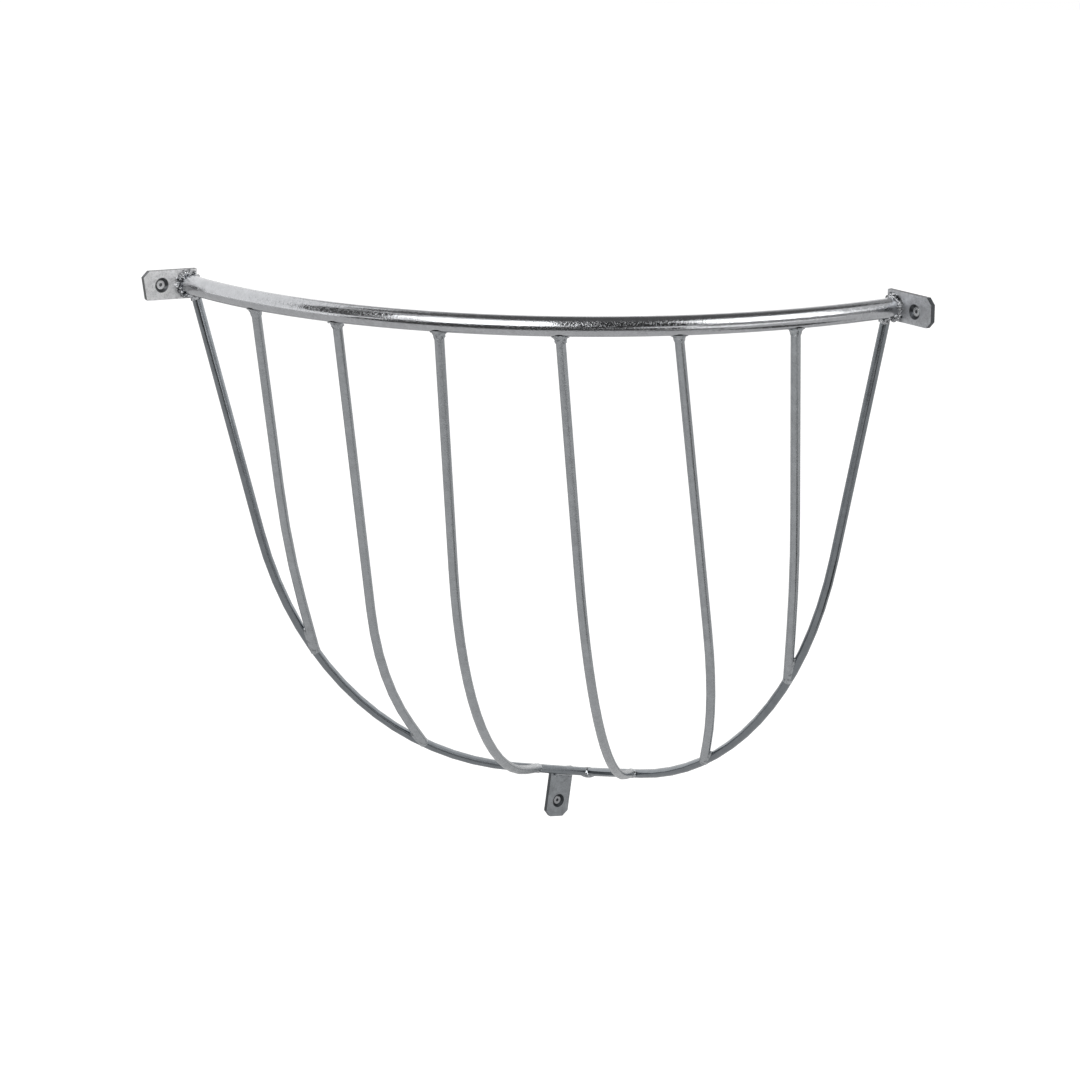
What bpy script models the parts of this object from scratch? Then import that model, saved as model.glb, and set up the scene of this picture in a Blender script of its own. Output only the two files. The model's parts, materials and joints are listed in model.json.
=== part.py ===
"""Corner hay rack: a welded rod basket that hangs across the corner of two walls.

A quarter-circle tube is the top rail. Two rods, one on each wall, run from its
ends down to the corner, and six bars curve back from the rail to those rods.
Three flat tabs with countersunk screws hold the rack on the walls.

The origin is where the centre lines of the two wall rods meet in the corner.
X runs to the right, Y back into the corner and Z up. All sizes are in metres
and all angles in degrees.
"""
import math

import bmesh
import bpy
from mathutils import Matrix, Vector

# Whole rack
WALL_ANGLE = 90.0
SEAT_GAP = 0.0003

# Top rail, a round tube bent to an arc about the corner line
RAIL_RADIUS = 0.500
RAIL_HEIGHT = 0.622
RAIL_DIAMETER = 0.020
RAIL_WALL = 0.002

# Wall rods, one on each wall, bent once between the rail and the corner
ROD_DIAMETER = 0.010
WALL_ROD_INSET = 0.0045
WALL_ROD_DROP = 0.007
WALL_ROD_STEEPER = 24.0
WALL_ROD_FLATTER = 36.5
WALL_ROD_BEND = 0.456

# Bars: the angle of each top from straight ahead, and each foot's distance from the corner
LEFT_OUTER_BAR_BEARING = 32.6
LEFT_OUTER_BAR_FOOT = 0.360
LEFT_MIDDLE_BAR_BEARING = 20.6
LEFT_MIDDLE_BAR_FOOT = 0.223
LEFT_INNER_BAR_BEARING = 7.9
LEFT_INNER_BAR_FOOT = 0.069
RIGHT_INNER_BAR_BEARING = 5.7
RIGHT_INNER_BAR_FOOT = 0.083
RIGHT_MIDDLE_BAR_BEARING = 18.7
RIGHT_MIDDLE_BAR_FOOT = 0.215
RIGHT_OUTER_BAR_BEARING = 32.4
RIGHT_OUTER_BAR_FOOT = 0.355

# Bars: how each pair is bent, and how far the plane of the bend leans out
INNER_BAR_STEEPER = 20.5
INNER_BAR_FLATTER = 36.8
INNER_BAR_BEND = 0.466
INNER_BAR_SPLAY = 3.5
MIDDLE_BAR_STEEPER = 5.3
MIDDLE_BAR_FLATTER = 17.9
MIDDLE_BAR_BEND = 0.500
MIDDLE_BAR_SPLAY = 26.6
OUTER_BAR_STEEPER = 3.1
OUTER_BAR_FLATTER = 6.2
OUTER_BAR_BEND = 0.946
OUTER_BAR_SPLAY = 17.6

# Fixing tabs, cut from flat bar
TAB_WIDTH = 0.030
TAB_THICKNESS = 0.005
TAB_CROP = 0.0065
SIDE_TAB_BACK = 0.010
SIDE_TAB_HOLE = 0.030
LEFT_TAB_REACH = 0.0509
LEFT_TAB_SLANT = 0.0041
LEFT_TAB_CROP = 0.0015
RIGHT_TAB_REACH = 0.054
RIGHT_TAB_SHIFT = 0.0017
BOTTOM_TAB_BACK = 0.002
BOTTOM_TAB_REACH = 0.056
BOTTOM_TAB_HOLE = 0.0375
BOTTOM_TAB_PLACE = 0.031
LEFT_TAB_LEAN = 3.0
RIGHT_TAB_LEAN = 0.0
BOTTOM_TAB_LEAN = 9.0

# Countersunk screws
SCREW_DIAMETER = 0.006
SCREW_LENGTH = 0.020
SCREW_HEAD_DIAMETER = 0.0092
SCREW_HEAD_SINK = 0.0024
SCREW_POINT = 0.005
SOCKET_WIDTH = 0.003
SOCKET_DEPTH = 0.0014

# Welds
TOP_WELD_FLARE = 0.004
TOP_WELD_LENGTH = 0.0065
TOP_WELD_RISE = 0.0045
TOP_WELD_EDGE = 0.0007
FOOT_WELD_COVER = 0.0010
FOOT_WELD_BEYOND = 0.006
FOOT_WELD_TAIL = 0.0045
FOOT_WELD_BACK = 0.0025
END_WELD_RADIUS = 0.0032
CORNER_WELD_RADIUS = 0.0022
TAB_WELD_RADIUS = 0.0034
TAB_WELD_LENGTH = 0.024
WELD_RIPPLE = 0.12

# Fineness of the curves
STRAIGHT_END = 0.006
BEND_STEP = 4.0
RAIL_STEP = 3.0
RAIL_SIDES = 20
ROD_SIDES = 12
TURNED_STEPS = 24
WELD_SIDES = 8
WELD_STEPS = 16
TOP_WELD_SIDES = 20
FLARE_STEPS = 4
SKIN_STEPS = 3
RIPPLE_POINTS = 4
FOOT_WELD_SIDES = 18
ENTRY_HALVINGS = 24
SHARP_ANGLE = 40.0
MERGE_DISTANCE = 0.00001
CUT_MARGIN = 0.001

# Worked out from the sizes above
HALF_ANGLE = math.radians(WALL_ANGLE) / 2
RAIL_OUTER = RAIL_DIAMETER / 2
ROD_OUTER = ROD_DIAMETER / 2
TAB_FACE = ROD_OUTER + SEAT_GAP
CUTTER_SIZE = 4 * (RAIL_DIAMETER + ROD_DIAMETER)
INNER_BEND = (INNER_BAR_STEEPER, INNER_BAR_FLATTER, INNER_BAR_BEND, INNER_BAR_SPLAY)
MIDDLE_BEND = (MIDDLE_BAR_STEEPER, MIDDLE_BAR_FLATTER, MIDDLE_BAR_BEND, MIDDLE_BAR_SPLAY)
OUTER_BEND = (OUTER_BAR_STEEPER, OUTER_BAR_FLATTER, OUTER_BAR_BEND, OUTER_BAR_SPLAY)
BARS = (
    ("left_outer", -1, LEFT_OUTER_BAR_BEARING, LEFT_OUTER_BAR_FOOT, OUTER_BEND),
    ("left_middle", -1, LEFT_MIDDLE_BAR_BEARING, LEFT_MIDDLE_BAR_FOOT, MIDDLE_BEND),
    ("left_inner", -1, LEFT_INNER_BAR_BEARING, LEFT_INNER_BAR_FOOT, INNER_BEND),
    ("right_inner", 1, RIGHT_INNER_BAR_BEARING, RIGHT_INNER_BAR_FOOT, INNER_BEND),
    ("right_middle", 1, RIGHT_MIDDLE_BAR_BEARING, RIGHT_MIDDLE_BAR_FOOT, MIDDLE_BEND),
    ("right_outer", 1, RIGHT_OUTER_BAR_BEARING, RIGHT_OUTER_BAR_FOOT, OUTER_BEND),
)
SIDES = (("left", -1), ("right", 1))


def clear_scene():
    """Remove every object that the file holds."""
    for thing in list(bpy.data.objects):
        bpy.data.objects.remove(thing, do_unlink=True)


def new_collection(name):
    """Add a collection under the scene's own."""
    collection = bpy.data.collections.new(name)
    bpy.context.scene.collection.children.link(collection)
    return collection


def steel(name, colour, roughness):
    """Return a metal material."""
    material = bpy.data.materials.new(name)
    material.use_nodes = True
    shader = material.node_tree.nodes["Principled BSDF"]
    shader.inputs["Base Color"].default_value = (*colour, 1.0)
    shader.inputs["Metallic"].default_value = 1.0
    shader.inputs["Roughness"].default_value = roughness
    return material


def add_empty(name, matrix):
    """Add an empty that other objects are placed by."""
    empty = bpy.data.objects.new(name, None)
    empty.empty_display_size = RAIL_OUTER
    RACK.objects.link(empty)
    empty.matrix_world = matrix
    return empty


def add_mesh(name, mesh, material=None, parent=None):
    """Add a piece when it has a material, or a cutter when it has none."""
    thing = bpy.data.objects.new(name, mesh)
    if material:
        mesh.materials.append(material)
        RACK.objects.link(thing)
    else:
        CUTTERS.objects.link(thing)
        thing.hide_render = True
        thing.display_type = "WIRE"
    thing.parent = parent
    mesh.shade_smooth()
    mesh.set_sharp_from_angle(angle=math.radians(SHARP_ANGLE))
    return thing


def mesh_from(name, shape):
    """Turn an edited shape into a mesh."""
    mesh = bpy.data.meshes.new(name)
    shape.to_mesh(mesh)
    shape.free()
    return mesh


def block_cutter(name, centre, parent=None):
    """Add a large cube to cut with."""
    shape = bmesh.new()
    bmesh.ops.create_cube(shape, size=CUTTER_SIZE)
    bmesh.ops.translate(shape, verts=shape.verts, vec=centre)
    return add_mesh(name, mesh_from(name, shape), parent=parent)


def wall_cutter(name, side, near, behind):
    """Add a cutter for what lies further back than a plane along a wall."""
    place = wall_matrix(side).inverted() @ near
    block = block_cutter(name, (place.x, behind + CUTTER_SIZE / 2, place.z))
    block.matrix_world = wall_matrix(side)
    return block


def curve_mesh(name, curve):
    """Turn a curve into a mesh whose caps are joined to its sides."""
    guide = bpy.data.objects.new(name, curve)
    CUTTERS.objects.link(guide)
    evaluated = guide.evaluated_get(bpy.context.evaluated_depsgraph_get())
    mesh = bpy.data.meshes.new_from_object(evaluated)
    bpy.data.objects.remove(guide, do_unlink=True)
    bpy.data.curves.remove(curve)
    shape = bmesh.new()
    shape.from_mesh(mesh)
    bmesh.ops.remove_doubles(shape, verts=shape.verts, dist=MERGE_DISTANCE)
    shape.to_mesh(mesh)
    shape.free()
    mesh.name = name
    return mesh


def tube_mesh(name, points, radius, sides, closed=False, caps=True, swell=None):
    """Sweep a round section along points, with a share of its radius at each."""
    curve = bpy.data.curves.new(name, "CURVE")
    curve.dimensions = "3D"
    curve.bevel_depth = radius
    curve.bevel_resolution = sides // 2 - 2
    curve.use_fill_caps = caps
    spline = curve.splines.new("POLY")
    spline.points.add(len(points) - 1)
    for index, point in enumerate(points):
        spline.points[index].co = (*point, 1.0)
        if swell:
            spline.points[index].radius = swell(index)
    spline.use_cyclic_u = closed
    return curve_mesh(name, curve)


def cut(piece, *cutters):
    """Take the cutters away from a piece."""
    for cutter in cutters:
        step = piece.modifiers.new(cutter.name, "BOOLEAN")
        step.operation = "DIFFERENCE"
        step.solver = "EXACT"
        step.object = cutter


def turned_mesh(name, profile):
    """Return a bare profile line for a Screw modifier, top to bottom."""
    mesh = bpy.data.meshes.new(name)
    corners = [(radius, 0.0, height) for radius, height in profile]
    edges = [(index, index + 1) for index in range(len(corners) - 1)]
    mesh.from_pydata(corners, edges, [])
    return mesh


def turn(thing):
    """Turn a profile about its own Z axis."""
    step = thing.modifiers.new("turn", "SCREW")
    step.steps = TURNED_STEPS
    step.render_steps = TURNED_STEPS
    step.use_merge_vertices = True
    step.merge_threshold = MERGE_DISTANCE
    step.use_smooth_shade = True


def wall_matrix(side):
    """Frame of a wall: X along it, Y into it, Z up, from the rods' corner."""
    return Matrix.Rotation(side * (HALF_ANGLE - math.pi / 2), 4, "Z")


def on_wall(side, along, height, behind=0.0):
    """Point on a wall rod's plane, or behind it, as a world position."""
    return wall_matrix(side) @ Vector((side * along, behind, height))


def bowed_path(top, foot, steeper, flatter, bend):
    """Two straight runs and one bend, in a plane of distance and height.

    The top run is steeper than the straight line to the foot and the lower run
    is flatter, by the angles given. The bend leaves a straight at either end.
    """
    chord = foot - top
    fall = math.atan2(chord.x, -chord.y)
    lean_top = fall - math.radians(steeper)
    lean_foot = fall + math.radians(flatter)
    turn_angle = lean_foot - lean_top
    run_top = chord.length * math.sin(math.radians(flatter)) / math.sin(turn_angle)
    run_foot = chord.length * math.sin(math.radians(steeper)) / math.sin(turn_angle)
    room = min(run_top, run_foot) - STRAIGHT_END
    tangent = min(bend * math.tan(turn_angle / 2), room)
    radius = tangent / math.tan(turn_angle / 2)
    bend_start = top + Vector((math.sin(lean_top), -math.cos(lean_top))) * (run_top - tangent)
    centre = bend_start + Vector((math.cos(lean_top), math.sin(lean_top))) * radius
    steps = math.ceil(math.degrees(turn_angle) / BEND_STEP)
    points = [top]
    for index in range(steps + 1):
        lean = lean_top + turn_angle * index / steps
        points.append(centre - Vector((math.cos(lean), math.sin(lean))) * radius)
    points.append(foot)
    return points


def rail_path(past=0.0):
    """Centre line of the rail, with a short straight end on each wall."""
    reach = 2 * HALF_ANGLE
    steps = math.ceil(math.degrees(reach) / RAIL_STEP)
    points = [on_wall(-1, RAIL_RADIUS, RAIL_HEIGHT, ROD_OUTER + past)]
    for index in range(steps + 1):
        bearing = reach * index / steps - HALF_ANGLE
        points.append(rail_point(bearing))
    points.append(on_wall(1, RAIL_RADIUS, RAIL_HEIGHT, ROD_OUTER + past))
    return points


def rail_point(bearing):
    """Point of the rail's centre line at an angle from straight ahead."""
    return Vector((math.sin(bearing), -math.cos(bearing), 0)) * RAIL_RADIUS + Vector((0, 0, RAIL_HEIGHT))


def wall_rod_outline():
    """Centre line of a wall rod, as distance from the corner and height."""
    top = Vector((WALL_ROD_INSET - RAIL_RADIUS, RAIL_HEIGHT - WALL_ROD_DROP))
    path = bowed_path(top, Vector((0, 0)), WALL_ROD_STEEPER, WALL_ROD_FLATTER, WALL_ROD_BEND)
    return [Vector((-point.x, point.y)) for point in path]


def wall_rod_height(along):
    """Height of the wall rods' centre line at a distance from the corner."""
    outline = wall_rod_outline()
    for upper, lower in zip(outline, outline[1:]):
        if lower.x <= along <= upper.x:
            return lower.y + (upper.y - lower.y) * (along - lower.x) / (upper.x - lower.x)
    raise ValueError("the wall rod doesn't reach this place")


def wall_rod_run(side, point):
    """Direction up the wall rod, where a point of its centre line lies."""
    along = Vector((point.x, point.y)).length
    step = ROD_OUTER / 2
    rise = wall_rod_height(along + step) - wall_rod_height(along - step)
    return (on_wall(side, 2 * step, rise) - on_wall(side, 0, 0)).normalized()


def wall_rod_path(side):
    """Centre line of a wall rod, run on past the corner for its mitre."""
    outline = wall_rod_outline()
    past = outline[-1] + (outline[-1] - outline[-2]).normalized() * ROD_DIAMETER
    outline[-1] = past
    return [on_wall(side, point.x, point.y) for point in outline]


def bar_path(side, bearing, along, steeper, flatter, bend, splay):
    """Centre line of a bar, from the rail's to its wall rod's."""
    top = rail_point(side * math.radians(bearing))
    foot = on_wall(side, along, wall_rod_height(along))
    across = math.hypot(foot.x - top.x, foot.y - top.y)
    flat = bowed_path(Vector((0, top.z)), Vector((across, foot.z)), steeper, flatter, bend)
    chord = (foot - top).normalized()
    belly = (chord * chord.z - Vector((0, 0, 1))).normalized()
    belly.rotate(Matrix.Rotation(-side * math.radians(splay), 3, chord))
    run = (flat[-1] - flat[0]).normalized()
    points = []
    for point in flat:
        step = point - flat[0]
        out = step.x * run.y - step.y * run.x
        points.append(top + chord * step.dot(run) + belly * out)
    return points


def distance_to(path, point):
    """Shortest distance from a point to a centre line."""
    nearest = math.inf
    for start, end in zip(path, path[1:]):
        run = end - start
        share = max(0.0, min(1.0, (point - start).dot(run) / run.length_squared))
        nearest = min(nearest, (point - start - run * share).length)
    return nearest


def entry(end, run, inside):
    """Point where a line that ends inside a shape goes into it."""
    low = -CUTTER_SIZE
    high = 0.0
    for _ in range(ENTRY_HALVINGS):
        middle = (low + high) / 2
        if inside(end + run * middle):
            high = middle
        else:
            low = middle
    return end + run * high


def seam(tip, before, radius, inside):
    """Ring of points where a round rod's skin enters what it is welded to."""
    axis = (tip - before).normalized()
    first = axis.orthogonal().normalized()
    second = axis.cross(first)
    ring = []
    for index in range(WELD_STEPS):
        angle = 2 * math.pi * index / WELD_STEPS
        out = first * math.cos(angle) + second * math.sin(angle)
        ring.append(entry(tip + out * radius, axis, inside))
    return ring


def ripple(index):
    """Share of a bead's radius at one of its points."""
    return 1.0 + WELD_RIPPLE * math.cos(2 * math.pi * index / RIPPLE_POINTS)


def bead(name, path, radius, closed=True):
    """A rippled weld bead along a path, not yet cut to its neighbours."""
    mesh = tube_mesh(name, path, radius, WELD_SIDES, closed=closed, swell=ripple)
    return add_mesh(name, mesh, WELD_METAL)


def foot_weld(name, side, path):
    """An egg round a bar's foot, long where it fills the sharp corner to the wall rod."""
    foot = path[-1]
    bar_run = (path[-2] - foot).normalized()
    rod_run = wall_rod_run(side, foot)
    middle = (bar_run + rod_run).normalized()
    flank = bar_run.cross(rod_run).normalized()
    width = ROD_OUTER + FOOT_WELD_COVER
    crotch = (ROD_OUTER + SEAT_GAP) / math.sin(bar_run.angle(rod_run) / 2)
    turned = Matrix((flank, middle.cross(flank), middle)).transposed().to_4x4()
    shape = bmesh.new()
    bmesh.ops.create_uvsphere(
        shape, u_segments=FOOT_WELD_SIDES, v_segments=FOOT_WELD_SIDES // 2 + 1, radius=1.0)
    for corner in shape.verts:
        corner.co.x *= width
        corner.co.y *= width
        corner.co.z *= crotch + FOOT_WELD_BEYOND if corner.co.z > 0 else FOOT_WELD_TAIL
    bmesh.ops.transform(shape, verts=shape.verts, matrix=Matrix.Translation(foot) @ turned)
    weld = add_mesh(name, mesh_from(name, shape), WELD_METAL)
    cut(weld, wall_cutter(name + "_back", side, foot, FOOT_WELD_BACK))
    return weld


def make_rail():
    """The tube of the top rail, open at both ends, and its cutter."""
    path = rail_path()
    mesh = tube_mesh("top_rail", path, RAIL_OUTER, RAIL_SIDES, caps=False)
    rail = add_mesh("top_rail", mesh, TUBE_METAL, FRAME)
    wall = rail.modifiers.new("tube_wall", "SOLIDIFY")
    wall.thickness = RAIL_WALL
    wall.offset = -1.0
    wall.use_rim = True
    cutter = tube_mesh("rail_clearance", rail_path(CUT_MARGIN), RAIL_OUTER + SEAT_GAP, RAIL_SIDES)
    return add_mesh("rail_clearance", cutter)


def weld_section(end, run, out, lowest, highest, inside):
    """Points round a top weld's section, on one side of its rod's axis."""
    bore = ROD_OUTER + SEAT_GAP
    flare = ROD_OUTER + TOP_WELD_FLARE
    points = []
    for index in range(SKIN_STEPS + 1):
        radius = bore + (flare - bore) * index / SKIN_STEPS
        skin = entry(end + out * radius, run, inside)
        height = min((skin - end).dot(run), highest)
        points.append(end + out * radius + run * height)
    rim = height - TOP_WELD_EDGE
    for index in range(FLARE_STEPS + 1):
        angle = math.pi / 2 * index / FLARE_STEPS
        radius = flare - (TOP_WELD_FLARE - TOP_WELD_EDGE) * math.sin(angle)
        points.append(end + out * radius + run * (lowest + (rim - lowest) * math.cos(angle)))
    points.append(end + out * bore + run * lowest)
    return points


def make_top_weld(name, path, front, reach=math.pi):
    """The flared weld round a rod's top, built on the skins of the rail and the rod.

    It goes all round the rod, or as far as reach on each side of its front.
    """
    rail = rail_path(CUT_MARGIN)
    run = (path[0] - path[1]).normalized()
    end = path[0] + run * (RAIL_HEIGHT - path[0].z) / run.z
    first = (front - run * front.dot(run)).normalized()
    second = run.cross(first)

    def inside(point):
        return distance_to(rail, point) < RAIL_OUTER + SEAT_GAP

    level = (entry(end, run, inside) - end).dot(run)
    whole = reach >= math.pi
    shape = bmesh.new()
    rings = []
    for index in range(TOP_WELD_SIDES if whole else TOP_WELD_SIDES + 1):
        angle = reach * (2 * index / TOP_WELD_SIDES - 1)
        out = first * math.cos(angle) + second * math.sin(angle)
        section = weld_section(end, run, out, level - TOP_WELD_LENGTH, level + TOP_WELD_RISE, inside)
        rings.append([shape.verts.new(point) for point in section])
    if whole:
        rings.append(rings[0])
    else:
        shape.faces.new(rings[0])
        shape.faces.new(rings[-1])
    for ring, following in zip(rings, rings[1:]):
        for index in range(len(ring)):
            shape.faces.new((ring[index - 1], ring[index], following[index], following[index - 1]))
    bmesh.ops.recalc_face_normals(shape, faces=shape.faces)
    add_mesh(name, mesh_from(name, shape), WELD_METAL)


def make_wall_rod(name, side, rail_cutter):
    """A wall rod, coped under the rail and mitred in the corner, with its bead at the top."""
    path = wall_rod_path(side)
    mesh = tube_mesh(name + "_wall_rod", path, ROD_OUTER, ROD_SIDES)
    rod = add_mesh(name + "_wall_rod", mesh, ROD_METAL, FRAME)
    cut(rod, rail_cutter, block_cutter(name + "_mitre", (side * (SEAT_GAP - CUTTER_SIZE) / 2, 0, 0)))
    behind = TAB_FACE - END_WELD_RADIUS * (1 + WELD_RIPPLE) - SEAT_GAP
    reach = math.pi / 2 + math.asin(behind / (ROD_OUTER + TOP_WELD_FLARE))
    make_top_weld(name + "_wall_rod_weld", path, -wall_matrix(side).col[1].xyz, reach)
    top = path[0] + (path[0] - path[1]).normalized() * SEAT_GAP
    mesh = tube_mesh(name + "_rod_clearance", [top] + path[1:], ROD_OUTER + SEAT_GAP, ROD_SIDES)
    return add_mesh(name + "_rod_clearance", mesh)


def make_bar(name, side, path, rail_cutter, rod_cutter):
    """A bar, coped to the rail and to its wall rod, with its two welds."""
    bar = add_mesh(name + "_bar", tube_mesh(name, path, ROD_OUTER, ROD_SIDES), ROD_METAL, FRAME)
    cut(bar, rail_cutter, rod_cutter)
    mesh = tube_mesh(name + "_bar_clearance", path, ROD_OUTER + SEAT_GAP, ROD_SIDES)
    bar_cutter = add_mesh(name + "_bar_clearance", mesh)
    make_top_weld(name + "_top_weld", path, Vector((0, -1, 0)))
    cut(foot_weld(name + "_foot_weld", side, path), bar_cutter, rod_cutter)


def tab_outline(back, reach, shift=0.0, slant=0.0, crop=TAB_CROP):
    """Corners of a tab's face, from its seat towards its free end."""
    half = TAB_WIDTH / 2
    return (
        (-back, shift - half),
        (reach - TAB_CROP, shift - half),
        (reach, shift + TAB_CROP - half),
        (reach - slant, shift + half - crop),
        (reach - slant - crop, shift + half),
        (-back, shift + half),
    )


def make_tab(name, seat, corners, hole_distance):
    """A cropped tab with its countersunk hole, its face on the seat's XY plane."""
    curve = bpy.data.curves.new(name, "CURVE")
    curve.dimensions = "2D"
    curve.fill_mode = "BOTH"
    curve.extrude = TAB_THICKNESS / 2
    spline = curve.splines.new("POLY")
    spline.points.add(len(corners) - 1)
    for point, corner in zip(spline.points, corners):
        point.co = (*corner, -TAB_THICKNESS / 2, 1.0)
    spline.use_cyclic_u = True
    tab = add_mesh(name, curve_mesh(name, curve), TAB_METAL, seat)
    mesh = turned_mesh(name + "_hole", hole_profile())
    hole = add_mesh(name + "_hole", mesh, parent=seat)
    hole.location = (hole_distance, 0, 0)
    turn(hole)
    cut(tab, hole)


def head_depth():
    """Depth of the screw's cone, which has a right angle at its point."""
    return (SCREW_HEAD_DIAMETER - SCREW_DIAMETER) / 2


def hole_profile():
    """Profile of a tab's hole, an even gap outside the screw."""
    slack = SEAT_GAP * math.sqrt(2)
    bore = SCREW_DIAMETER / 2 + SEAT_GAP
    mouth = SCREW_HEAD_DIAMETER / 2 + SCREW_HEAD_SINK + slack
    return (
        (0, CUT_MARGIN),
        (mouth + CUT_MARGIN, CUT_MARGIN),
        (bore, bore - mouth),
        (bore, -TAB_THICKNESS - CUT_MARGIN),
        (0, -TAB_THICKNESS - CUT_MARGIN),
    )


def make_screw(name, seat, hole_distance):
    """A countersunk screw with a six-sided socket, sunk in its tab's hole."""
    shank = SCREW_DIAMETER / 2
    head = SCREW_HEAD_DIAMETER / 2
    profile = (
        (0, 0),
        (head, 0),
        (shank, -head_depth()),
        (shank, SCREW_POINT - SCREW_LENGTH),
        (0, -SCREW_LENGTH),
    )
    place = (hole_distance, 0, -SCREW_HEAD_SINK)
    screw = add_mesh(name, turned_mesh(name, profile), SCREW_METAL, seat)
    screw.location = place
    turn(screw)
    shape = bmesh.new()
    corner = SOCKET_WIDTH / math.sqrt(3)
    bmesh.ops.create_cone(
        shape, cap_ends=True, segments=6, radius1=corner, radius2=corner, depth=2 * SOCKET_DEPTH)
    socket = add_mesh(name + "_socket", mesh_from(name + "_socket", shape), parent=seat)
    socket.location = place
    cut(screw, socket)


def tab_seat(name, side, along, height, bearing):
    """Empty on a tab's face: X towards its free end, Z away from the wall."""
    place = Matrix.Translation((side * along, TAB_FACE, height))
    upright = Matrix.Rotation(math.pi / 2, 4, "X")
    spin = Matrix.Rotation(bearing, 4, "Z")
    return add_empty(name, wall_matrix(side) @ place @ upright @ spin)


def tab_clearance(name, seat):
    """Cutter for what lies behind a tab's face."""
    return block_cutter(name + "_tab_clearance", (0, 0, SEAT_GAP - CUTTER_SIZE / 2), seat)


def make_end_weld(name, side, seat, rail_cutter, rod_cutter):
    """The bead round the rail's end on its tab."""
    face = wall_matrix(side).inverted()
    end = on_wall(side, RAIL_RADIUS, RAIL_HEIGHT, 2 * TAB_FACE)
    before = on_wall(side, RAIL_RADIUS, RAIL_HEIGHT)
    ring = seam(end, before, RAIL_OUTER, lambda point: (face @ point).y > TAB_FACE)
    weld = bead(name + "_end_weld", ring, END_WELD_RADIUS)
    cut(weld, rail_cutter, rod_cutter, tab_clearance(name, seat))


def make_corner_weld(rod_cutters):
    """The bead round the mitre where the two wall rods meet."""
    path = wall_rod_path(1)
    ring = seam(path[-1], path[-2], ROD_OUTER, lambda point: point.x < 0)
    cut(bead("corner_weld", ring, CORNER_WELD_RADIUS), *rod_cutters)


def make_tab_weld(seat, rod_cutter):
    """The bead under the left wall rod, along the top of the bottom tab."""
    points = []
    steps = WELD_STEPS // 2
    for index in range(steps + 1):
        along = BOTTOM_TAB_PLACE + TAB_WELD_LENGTH * (index / steps - 0.5)
        points.append(on_wall(-1, along, wall_rod_height(along) - ROD_OUTER, TAB_FACE))
    weld = bead("bottom_tab_weld", points, TAB_WELD_RADIUS, closed=False)
    cut(weld, rod_cutter, tab_clearance("bottom", seat))


clear_scene()
RACK = new_collection("corner_hay_rack")
CUTTERS = new_collection("cutters")
TUBE_METAL = steel("zinc_on_tube", (0.62, 0.64, 0.66), 0.28)
ROD_METAL = steel("zinc_on_rod", (0.36, 0.39, 0.41), 0.42)
TAB_METAL = steel("zinc_on_flat_bar", (0.50, 0.52, 0.54), 0.45)
WELD_METAL = steel("zinc_on_weld", (0.45, 0.47, 0.48), 0.38)
SCREW_METAL = steel("zinc_on_screw", (0.40, 0.42, 0.44), 0.35)
FRAME = add_empty("rack_frame", Matrix.Identity(4))

rail_cutter = make_rail()
rod_cutters = {}
for name, side in SIDES:
    rod_cutters[side] = make_wall_rod(name, side, rail_cutter)
for name, side, bearing, along, form in BARS:
    make_bar(name, side, bar_path(side, bearing, along, *form), rail_cutter, rod_cutters[side])

leans = {-1: math.pi - math.radians(LEFT_TAB_LEAN), 1: math.radians(RIGHT_TAB_LEAN)}
outlines = {
    -1: tab_outline(SIDE_TAB_BACK, LEFT_TAB_REACH, slant=LEFT_TAB_SLANT, crop=LEFT_TAB_CROP),
    1: tab_outline(SIDE_TAB_BACK, RIGHT_TAB_REACH, shift=RIGHT_TAB_SHIFT),
}
for name, side in SIDES:
    seat = tab_seat(name + "_tab_seat", side, RAIL_RADIUS, RAIL_HEIGHT, leans[side])
    make_tab(name + "_tab", seat, outlines[side], SIDE_TAB_HOLE)
    make_screw(name + "_screw", seat, SIDE_TAB_HOLE)
    make_end_weld(name, side, seat, rail_cutter, rod_cutters[side])

bottom_bearing = -math.pi / 2 - math.radians(BOTTOM_TAB_LEAN)
bottom_seat = tab_seat(
    "bottom_tab_seat", -1, BOTTOM_TAB_PLACE, wall_rod_height(BOTTOM_TAB_PLACE), bottom_bearing)
bottom_outline = tab_outline(BOTTOM_TAB_BACK, BOTTOM_TAB_REACH)
make_tab("bottom_tab", bottom_seat, bottom_outline, BOTTOM_TAB_HOLE)
make_screw("bottom_screw", bottom_seat, BOTTOM_TAB_HOLE)
make_tab_weld(bottom_seat, rod_cutters[-1])
make_corner_weld(rod_cutters.values())
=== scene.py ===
"""Corner hay rack: zinc finishes, lumpy welds, threaded screws and a small studio.

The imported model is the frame, and it keeps its shape and place. Each operator
finishes one kind of piece, and the last one sets up the floor, the lights and
the camera. All sizes are in metres.
"""

import json
import math
import random
from collections import namedtuple

import bmesh
import bpy
from bpy.props import FloatProperty, FloatVectorProperty, IntProperty, PointerProperty
from mathutils import Matrix, Quaternion, Vector

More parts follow.
